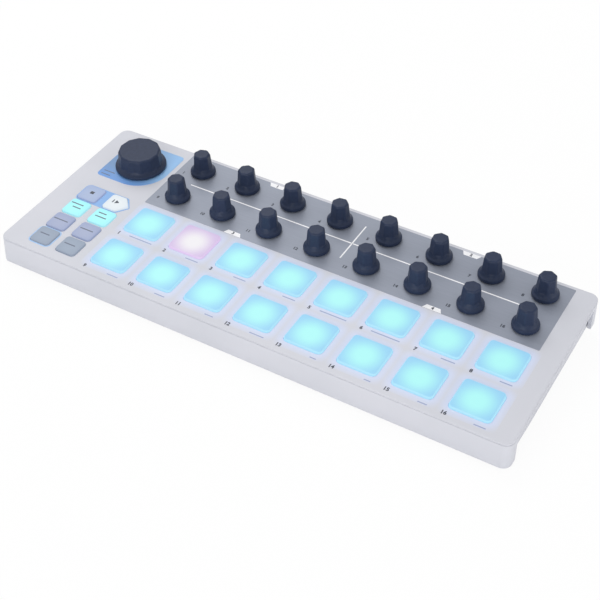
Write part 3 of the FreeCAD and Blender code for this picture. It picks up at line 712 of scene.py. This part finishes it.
def make_jacks():
    """Three jacks, each a block with a round neck and a metal ring."""
    for node in ("jack_1", "jack_2", "jack_3"):
        low, high = (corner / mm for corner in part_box(node))
        body_back, bore_end = low.y + jack_depth, high.y + through
        x, z = (low.x + high.x) / 2, high.z - jack_neck
        jack = block(node + "_body", low.x, high.x, low.y, body_back, z - jack_height / 2,
                     z + jack_height / 2)
        round_corners(jack, jack_edge, 3, lambda edge: True)
        neck = round_rim(drum("neck", jack_neck, body_back - neck_reach, high.y), high.y, jack_edge, 3)
        combine(jack, along_y(neck, x, z), "UNION")
        bore = drum("bore", jack_bore, low.y + jack_wall, bore_end, 40)
        combine(jack, along_y(bore, x, z), "DIFFERENCE")
        dress(smooth(jack), nylon, "case")
        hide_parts(node)
        ring = drum(node + "_ring", jack_neck - ring_inset, high.y - ring_depth, high.y + ring_proud)
        bore = drum("bore", jack_bore + ring_slack, high.y - through, bore_end, 40)
        combine(ring, bore, "DIFFERENCE")
        dress(smooth(along_y(ring, x, z)), tin, "case")


def make_usb_socket():
    """The socket's thin steel shell, narrower below, and the tongue in it."""
    low, high = (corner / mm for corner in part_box("usb_socket"))

    def tapered(name, inset, front, back):
        """The socket's outline between two depths."""
        piece = block(name, low.x + inset, high.x - inset, front, back, low.z + inset, high.z - inset)
        half_way = (low.z + high.z) / 2 * mm
        pick(piece, "EDGE", lambda edge: all(v.co.z < half_way for v in edge.verts)
             and abs(edge.verts[0].co.x - edge.verts[1].co.x) < hair * mm)
        bevel(usb_bevel, 2)
        return close_edit(piece)

    shell = combine(tapered("usb_shell", 0.0, low.y, high.y),
                    tapered("cutter", usb_shell, low.y + usb_shell, high.y + through), "DIFFERENCE")
    dress(smooth(shell), tin, "case")
    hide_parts("usb_socket")
    middle = (low.z + high.z) / 2 + tongue_rise
    tongue = block("usb_tongue", low.x + tongue_inset, high.x - tongue_inset, low.y + usb_shell - seam,
                   high.y - tongue_setback, middle - tongue_thickness / 2, middle + tongue_thickness / 2)
    dress(smooth(round_corners(tongue, tongue_edge, 2, lambda edge: True)), nylon, "case")


# Pads and keys


def add_rim(cap, left, right, front, back):
    """The square rim that keeps a cap under the deck."""
    rim = block("rim", left - rim_reach, right + rim_reach, front, back, rim_bottom, cap_bottom + seam)
    return combine(cap, rim, "UNION")


def over_light(cap, low, high):
    """The hollow under a cap that clears its light at full travel."""
    wide, deep = hollow_width / 2, hollow_depth / 2
    return combine(cap, block("hollow", -wide, wide, -deep, deep, low - through, high), "DIFFERENCE")


def make_pad_shape():
    half_width, half_depth = pad_width / 2, pad_depth / 2
    pad = block("pad", -half_width, half_width, -half_depth, half_depth, cap_bottom, pad_proud - pad_crown)
    round_corners(pad, pad_corner, 7)
    round_rim(pad, pad_proud - pad_crown, pad_edge, 5)
    pick(pad, "FACE", level_at(pad_proud - pad_crown))
    for shrink in crown_steps:
        rise = pad_crown / len(crown_steps) * mm
        bpy.ops.mesh.extrude_region_move(TRANSFORM_OT_translate={"value": (0, 0, rise)})
        bpy.ops.transform.resize(value=(shrink, shrink, 1), center_override=(0, 0, pad_proud * mm))
    close_edit(pad)
    add_rim(pad, -half_width, half_width, -half_depth - rim_reach, half_depth + rim_reach)
    return smooth(over_light(pad, rim_bottom, pad_hollow_top))


def key_shape(name, pointed, grow, low, high):
    """A key's outline, grown all round, between two heights. The play key's right side comes to a point."""
    half_width, half_depth = key_width / 2 + grow, key_depth / 2 + grow
    if not pointed:
        return round_corners(block(name, -half_width, half_width, -half_depth, half_depth, low, high),
                             key_corner + grow, 6)
    shoulder = half_width - play_shoulder
    key = block(name, -half_width, shoulder, -half_depth, half_depth, low, high)
    pick(key, "EDGE", lambda edge: not upright(edge) and all(v.co.x > 0 for v in edge.verts))
    bpy.ops.mesh.subdivide(number_cuts=1)
    pick(key, "VERT", lambda vertex: vertex.co.x > 0 and abs(vertex.co.y) < hair * mm)
    bpy.ops.transform.translate(value=((play_shoulder + play_point) * mm, 0, 0))
    pick(key, "EDGE", lambda edge: upright(edge) and edge.verts[0].co.x < 0)
    bevel(key_corner + grow, 6)
    pick(key, "EDGE", lambda edge: upright(edge) and edge.verts[0].co.x > 0)
    bevel((play_corner + grow) * play_bevel, 4)
    return close_edit(key)


def make_key_shape(pointed):
    key = key_shape("key", pointed, 0.0, cap_bottom, key_proud)
    round_rim(key, key_proud, key_edge, 4)
    reach = key_width / 2 + (play_point if pointed else 0.0)
    rim_half = key_depth / 2 + key_rim_reach
    add_rim(key, -key_width / 2, reach, -rim_half, rim_half)
    half = nose_side / 2
    combine(key, block("nose", -half, half, -half, half, nose_bottom, rim_bottom + seam), "UNION")
    return smooth(over_light(key, nose_bottom, key_hollow_top))


def place_pads():
    cyan = lit_silicone("silicone lit cyan", "AEF6F4", "98D2F2", "B4E8FA", 0.62, pad_grid, pad_corner)
    pink = lit_silicone("silicone lit pink", "EAE8EC", "D0BCE0", "E4CCEE", 0.64, pad_grid, pad_corner)
    shape = make_pad_shape()
    for name in pad_names:
        pad = set_on_deck(copy_of(shape, name + "_cap"), *spot_of(name))
        lit = name == "pad_02"
        dress(pad, pink if lit else cyan, name)
        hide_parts(name)
    bpy.data.objects.remove(shape)


def key_spot(name):
    """The middle of a key's square, from the keys' columns and rows."""
    column, row = key_names.index(name) % 2, key_names.index(name) // 2
    x, y = spot_of("stop_key")
    return x + column * key_pitch_x, y - row * key_pitch_y


def place_keys():
    grid = (key_grid, key_corner)
    cyan = lit_silicone("key silicone lit cyan", "ACFAFA", "A4F2F8", "AEEEF8", 0.62, *grid)
    white = lit_silicone("key silicone white", "E4EAEE", "DEE6EC", "DAE4EE", 0.62, *grid)
    stop = lit_silicone("key silicone pale blue", "B4C4E4", "AEC0E4", "AAB8E0", 0.48, *grid)
    # The lavender and grey keys are unlit: the emission in these two silicones is a painted glow.
    lavender = lit_silicone("key silicone lavender with painted glow", "B2BCDA", "AAB6D8", "A6B2D4", 0.46, *grid)
    grey = lit_silicone("key silicone grey with painted glow", "A8B6CA", "A2B0C4", "A2AEC2", 0.44, *grid)
    finish = {"cyan": cyan, "white": white, "lavender": lavender, "grey": grey}
    square, pointed = make_key_shape(False), make_key_shape(True)
    for name in key_names:
        colour = key_colours[name]
        key = set_on_deck(copy_of(pointed if name == "play_key" else square, name + "_cap"), *key_spot(name))
        dress(key, stop if name == "stop_key" else finish[colour], name)
        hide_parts(name)
    bpy.data.objects.remove(square)
    bpy.data.objects.remove(pointed)


# Knobs


def lathe(name, profile, sides):
    """A closed round body drawn up from a disc through a profile of radius and height."""
    radius, height = profile[0]
    bpy.ops.mesh.primitive_circle_add(vertices=sides, radius=radius * mm, fill_type="NGON",
                                      location=(0, 0, height * mm))
    body = added(name)
    pick(body, "FACE", lambda face: True)
    for next_radius, next_height in profile[1:]:
        bpy.ops.mesh.extrude_region_move(
            TRANSFORM_OT_translate={"value": (0, 0, (next_height - height) * mm)})
        scale = next_radius / radius
        bpy.ops.transform.resize(value=(scale, scale, 1), center_override=(0, 0, next_height * mm))
        radius, height = next_radius, next_height
    return close_edit(body)


def make_grip(flats, low_radius, top_radius, low, high, edge, rim):
    """A tapered grip with flats, its edges rounded, its first corner along +X."""
    grip = drum("grip", low_radius, low, high, flats)
    grip.data.transform(Matrix.Rotation(-math.pi / 2, 4, "Z"))
    pick(grip, "FACE", level_at(high))
    taper = top_radius / low_radius
    bpy.ops.transform.resize(value=(taper, taper, 1), center_override=(0, 0, high * mm))
    pick(grip, "EDGE", upright)
    bevel(edge, 4)
    pick(grip, "EDGE", level_at(high))
    bevel(rim, 3)
    return close_edit(grip)


def make_knob_shape(name, profile, sides, grip):
    knob = lathe(name, profile, sides)
    combine(knob, grip, "UNION")
    combine(knob, drum("shaft", shaft_radius, shaft_bottom, profile[0][1] + shaft_reach, 24), "UNION")
    return smooth(knob, 30)


def place_knobs():
    grip = make_grip(grip_flats, grip_low_radius, grip_top_radius, grip_bottom, knob_height, grip_edge,
                     grip_rim)
    shape = make_knob_shape("knob", skirt_profile, 56, grip)
    for name, angle in zip(knob_names, knob_angles):
        knob = set_on_deck(copy_of(shape, name + "_cap"), *spot_of(name), angle)
        dress(knob, knob_paint, name)
        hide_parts(name)
    bpy.data.objects.remove(shape)
    grip = make_grip(level_flats, level_low_radius, level_top_radius, level_bottom, level_height, level_edge,
                     level_rim)
    knob = make_knob_shape("level_knob_cap", flange_profile, 96, grip)
    set_on_deck(knob, *spot_of("level_knob"), level_angle)
    dress(knob, knob_paint, "level_knob")
    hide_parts("level_knob")


# The printed deck


def print_on_deck(piece, material):
    set_on_deck(piece)
    smooth(piece)
    return dress(piece, material, "case")


def tab_shape(name, x, edge_y, inward, low, high):
    """A tab that narrows from the panel's edge inwards. inward is 1 where inwards is to the back."""
    front, back = (edge_y, edge_y + tab_depth) if inward > 0 else (edge_y - tab_depth, edge_y)
    half = tab_width / 2
    tab = block(name, x - half, x + half, front, back, low, high)
    inner = back if inward > 0 else front
    pick(tab, "FACE", lambda face: abs(face.calc_center_median().y - inner * mm) < hair * mm)
    narrow = (half - tab_slant) / half
    bpy.ops.transform.resize(value=(narrow, 1, 1), center_override=(x * mm, inner * mm, 0))
    return close_edit(tab)


def tab_sites():
    return [(x, panel_front, 1) for x in tab_xs] + [(x, panel_back, -1) for x in tab_xs]


def print_panel():
    panel = block("knob_panel", panel_left, panel_right, panel_front, panel_back, -sunk, overlay)
    round_corners(panel, panel_corner, 5)
    cutters = [drum("cutter", shaft_hole, -through, through, 32, *spot_of(name)) for name in knob_names]
    cutters += [tab_shape("cutter", x, y, inward, -through, through) for x, y, inward in tab_sites()]
    combine(panel, joined(cutters, "cutters"), "DIFFERENCE")
    print_on_deck(panel, panel_ink)
    tabs = [tab_shape("tab", x, y, inward, -sunk, overlay) for x, y, inward in tab_sites()]
    print_on_deck(joined(tabs, "panel_tabs"), white_ink)
    low, high = overlay - sunk / 2, overlay + ink
    lines = [block("line", row_line_left, row_line_right, row_line_y - line_width / 2,
                   row_line_y + line_width / 2, low, high),
             block("line", cross_line_x - line_width / 2, cross_line_x + line_width / 2, cross_line_front,
                   cross_line_back, low, high)]
    print_on_deck(joined(lines, "panel_lines"), white_ink)


def print_field():
    """The blue field round the large knob, its front right corner swept in a wide arc."""
    field = block("level_field", field_left, field_right, field_front, field_back, -sunk, overlay)
    sweep = (field_right - field_left) / 2 - sweep_margin
    from_x, to_y = (field_right - sweep) * mm, (field_front + sweep) * mm

    def swept(edge):
        corner = edge.verts[0].co
        return upright(edge) and corner.x > from_x and corner.y < to_y

    round_corners(field, field_corner, 5, lambda edge: upright(edge) and not swept(edge))
    round_corners(field, sweep, 24, swept)
    hole = drum("cutter", shaft_hole, -through, through, 32, *spot_of("level_knob"))
    combine(field, hole, "DIFFERENCE")
    print_on_deck(field, field_ink)


def print_band():
    """The blue band that joins stop and play."""
    pieces = []
    for name, pointed in (("stop_key", False), ("play_key", True)):
        x, y = key_spot(name)
        piece = key_shape("band", pointed, band_margin, -sunk, overlay)
        piece.data.transform(Matrix.Translation((x * mm, y * mm, 0)))
        pieces.append(piece)
    left, right = key_spot("stop_key"), key_spot("play_key")
    half_width, half_depth = key_width / 2 - band_overlap, key_depth / 2 + band_margin
    link = block("band", left[0] + half_width, right[0] - half_width, left[1] - half_depth,
                 left[1] + half_depth, -sunk, overlay)
    band = combine(combine(pieces[0], pieces[1], "UNION"), link, "UNION")
    for name, pointed in (("stop_key", False), ("play_key", True)):
        x, y = key_spot(name)
        hole = key_shape("cutter", pointed, opening_clearance, -through, through)
        hole.data.transform(Matrix.Translation((x * mm, y * mm, 0)))
        combine(band, hole, "DIFFERENCE")
    band.name = "transport_band"
    print_on_deck(band, blue_ink)


def print_ring():
    """The pale ring round the shift key."""
    x, y = key_spot("shift_key")
    ring = combine(key_shape("shift_ring", False, ring_margin, -sunk, overlay),
                   key_shape("cutter", False, opening_clearance, -through, through), "DIFFERENCE")
    ring.data.transform(Matrix.Translation((x * mm, y * mm, 0)))
    print_on_deck(ring, ring_ink)


def number(text, size, x, y, low, high):
    bpy.ops.object.text_add(location=(0, 0, 0))
    figure = bpy.context.object
    figure.data.body = text
    figure.data.size = size * mm
    figure.data.offset = number_weight * mm
    figure.data.extrude = (high - low) / 2 * mm
    figure.data.align_x = "CENTER"
    figure.data.align_y = "CENTER"
    figure.data.resolution_u = 3
    bpy.ops.object.convert(target="MESH")
    figure.data.transform(Matrix.Translation((x * mm, y * mm, (low + high) / 2 * mm)))
    return figure


def print_numbers():
    """Plain numbers beside the knobs, in the panel's tabs and in front of the pads."""
    low, high = overlay - ink_sunk, overlay + ink
    figures = []
    for i, name in enumerate(knob_names):
        x, y = spot_of(name)
        figures.append(number(str(i + 1), knob_number, x + knob_number_x, y + knob_number_y, low, high))
    middles = [(x, y) for y in (panel_back - tab_depth / 2, panel_front + tab_depth / 2) for x in tab_xs]
    for i, (x, y) in enumerate(middles):
        figures.append(number(str(i + 1), knob_number, x, y, low, high))
    print_on_deck(joined(figures, "panel_numbers"), dark_ink)
    figures = []
    for i, name in enumerate(pad_names):
        x, y = spot_of(name)
        below = pad_number_back if i < 8 else pad_number_front
        figures.append(number(str(i + 1), pad_number, x + pad_number_x, y + below, -sunk, ink))
    print_on_deck(joined(figures, "pad_numbers"), dark_ink)


def bar(left, right, y, weight, low, high):
    return block("bar", left, right, y - weight / 2, y + weight / 2, low, high)


def print_bars():
    """Short bars in front of the pads and at the blue field's front left corner."""
    bars = []
    for i, name in enumerate(pad_names):
        x, y = spot_of(name)
        below = bar_back if i < 8 else bar_front
        bars.append(bar(x + bar_starts[i], x + bar_end, y + below, bar_weight, -sunk, ink))
    print_on_deck(joined(bars, "label_bars"), pale_slate_ink)
    bars = [bar(*place, bar_weight, overlay - ink_sunk, overlay + ink) for place in field_bars]
    print_on_deck(joined(bars, "field_bars"), slate_ink)


def print_marks():
    """The stop square, the play triangle and the short bars, which move with their keys."""
    low, high = key_proud - mark_sunk, key_proud + mark_proud
    for name, rows in key_bars.items():
        bars = [bar(*place, key_bar_weight, low, high) for place in rows]
        mark = set_on_deck(joined(bars, name + "_label"), *key_spot(name))
        dress(mark, slate_ink, name)
    square = set_on_deck(block("stop_mark", *stop_mark, low, high), *key_spot("stop_key"))
    dress(square, dark_ink, "stop_key")
    arrow = drum("arrow", play_arrow, low, high, 3)
    arrow.data.transform(Matrix.Translation((arrow_x * mm, 0, 0)) @ Matrix.Rotation(-math.pi / 2, 4, "Z"))
    x, y = key_spot("play_key")
    mark = joined([block("bar", *play_bar, low, high), arrow], "play_mark")
    set_on_deck(mark, x + play_mark_x, y + play_mark_y)
    dress(mark, dark_ink, "play_key")


# What the frame's own nodes are made of


def dress_frame():
    finish = {
        "pad_board": laminate, "knob_board": laminate, "socket_board": laminate,
        "pressure_film": striped_film("sensing film", "2C2F36", "3C4048", 1.0), "lights": clear_lens(),
        "processor": resin, "flat_cables": striped_film("flat cable", "E6E8EA", "9FA3A8", 0.5),
        "encoders": nylon, "level_encoder": nylon}
    for name, material in finish.items():
        mesh = frame["nodes"][name].data
        mesh.materials.clear()
        mesh.materials.append(material)


# Studio


def make_studio():
    bpy.ops.mesh.primitive_plane_add(size=8.0, location=(0, 0, 0))
    floor = added("studio_floor")
    floor.data.materials.append(studio_floor())
    world = bpy.data.worlds.new("studio")
    bpy.context.scene.world = world
    world.use_nodes = True
    world.node_tree.nodes.clear()
    tree = world.node_tree
    rays = add(tree, "ShaderNodeLightPath", {})
    fill = add(tree, "ShaderNodeBackground", {"Color": (1.0, 1.0, 1.0, 1.0), "Strength": 0.6})
    seen = add(tree, "ShaderNodeBackground", {"Color": (1.0, 1.0, 1.0, 1.0), "Strength": 1.0})
    mix = add(tree, "ShaderNodeMixShader",
              {0: rays.outputs["Is Camera Ray"], 1: fill.outputs[0], 2: seen.outputs[0]})
    add(tree, "ShaderNodeOutputWorld", {"Surface": mix.outputs[0]})
    lamps = (("key_lamp", (-0.6, 0.4, 1.1), 6.5), ("fill_lamp", (0.1, -1.2, 0.35), 5.8),
             ("side_lamp", (1.3, 0.1, 0.2), 4.4))
    for name, place, power in lamps:
        bpy.ops.object.light_add(type="AREA", location=place)
        lamp = bpy.context.object
        lamp.name = name
        lamp.data.shape = "SQUARE"
        lamp.data.size = 0.9
        lamp.data.energy = power
        lamp.rotation_euler = Vector(place).to_track_quat("Z", "Y").to_euler()


def make_camera():
    turn, height, roll = (math.radians(a) for a in (camera_turn, camera_height, camera_roll))
    level = math.cos(height)
    look = Vector((-math.sin(turn) * level, math.cos(turn) * level, -math.sin(height)))
    right = Vector((math.cos(turn), math.sin(turn), 0))
    up = right.cross(look)
    side = right * math.cos(roll) + up * math.sin(roll)
    above = up * math.cos(roll) - right * math.sin(roll)
    bpy.ops.object.camera_add()
    camera = bpy.context.object
    camera.data.lens = camera_lens
    camera.data.sensor_width = 36.0
    camera.data.clip_start = 0.01
    camera.matrix_world = Matrix((side, above, -look)).transposed().to_4x4()
    camera.location = Vector(camera_place) * mm
    bpy.context.scene.camera = camera


bpy.context.scene.view_settings.view_transform = "Standard"
make_camera()
make_case()
make_feet()
make_screws()
make_jacks()
make_usb_socket()
place_pads()
place_keys()
place_knobs()
print_panel()
print_field()
print_band()
print_ring()
print_numbers()
print_bars()
print_marks()
dress_frame()
make_studio()
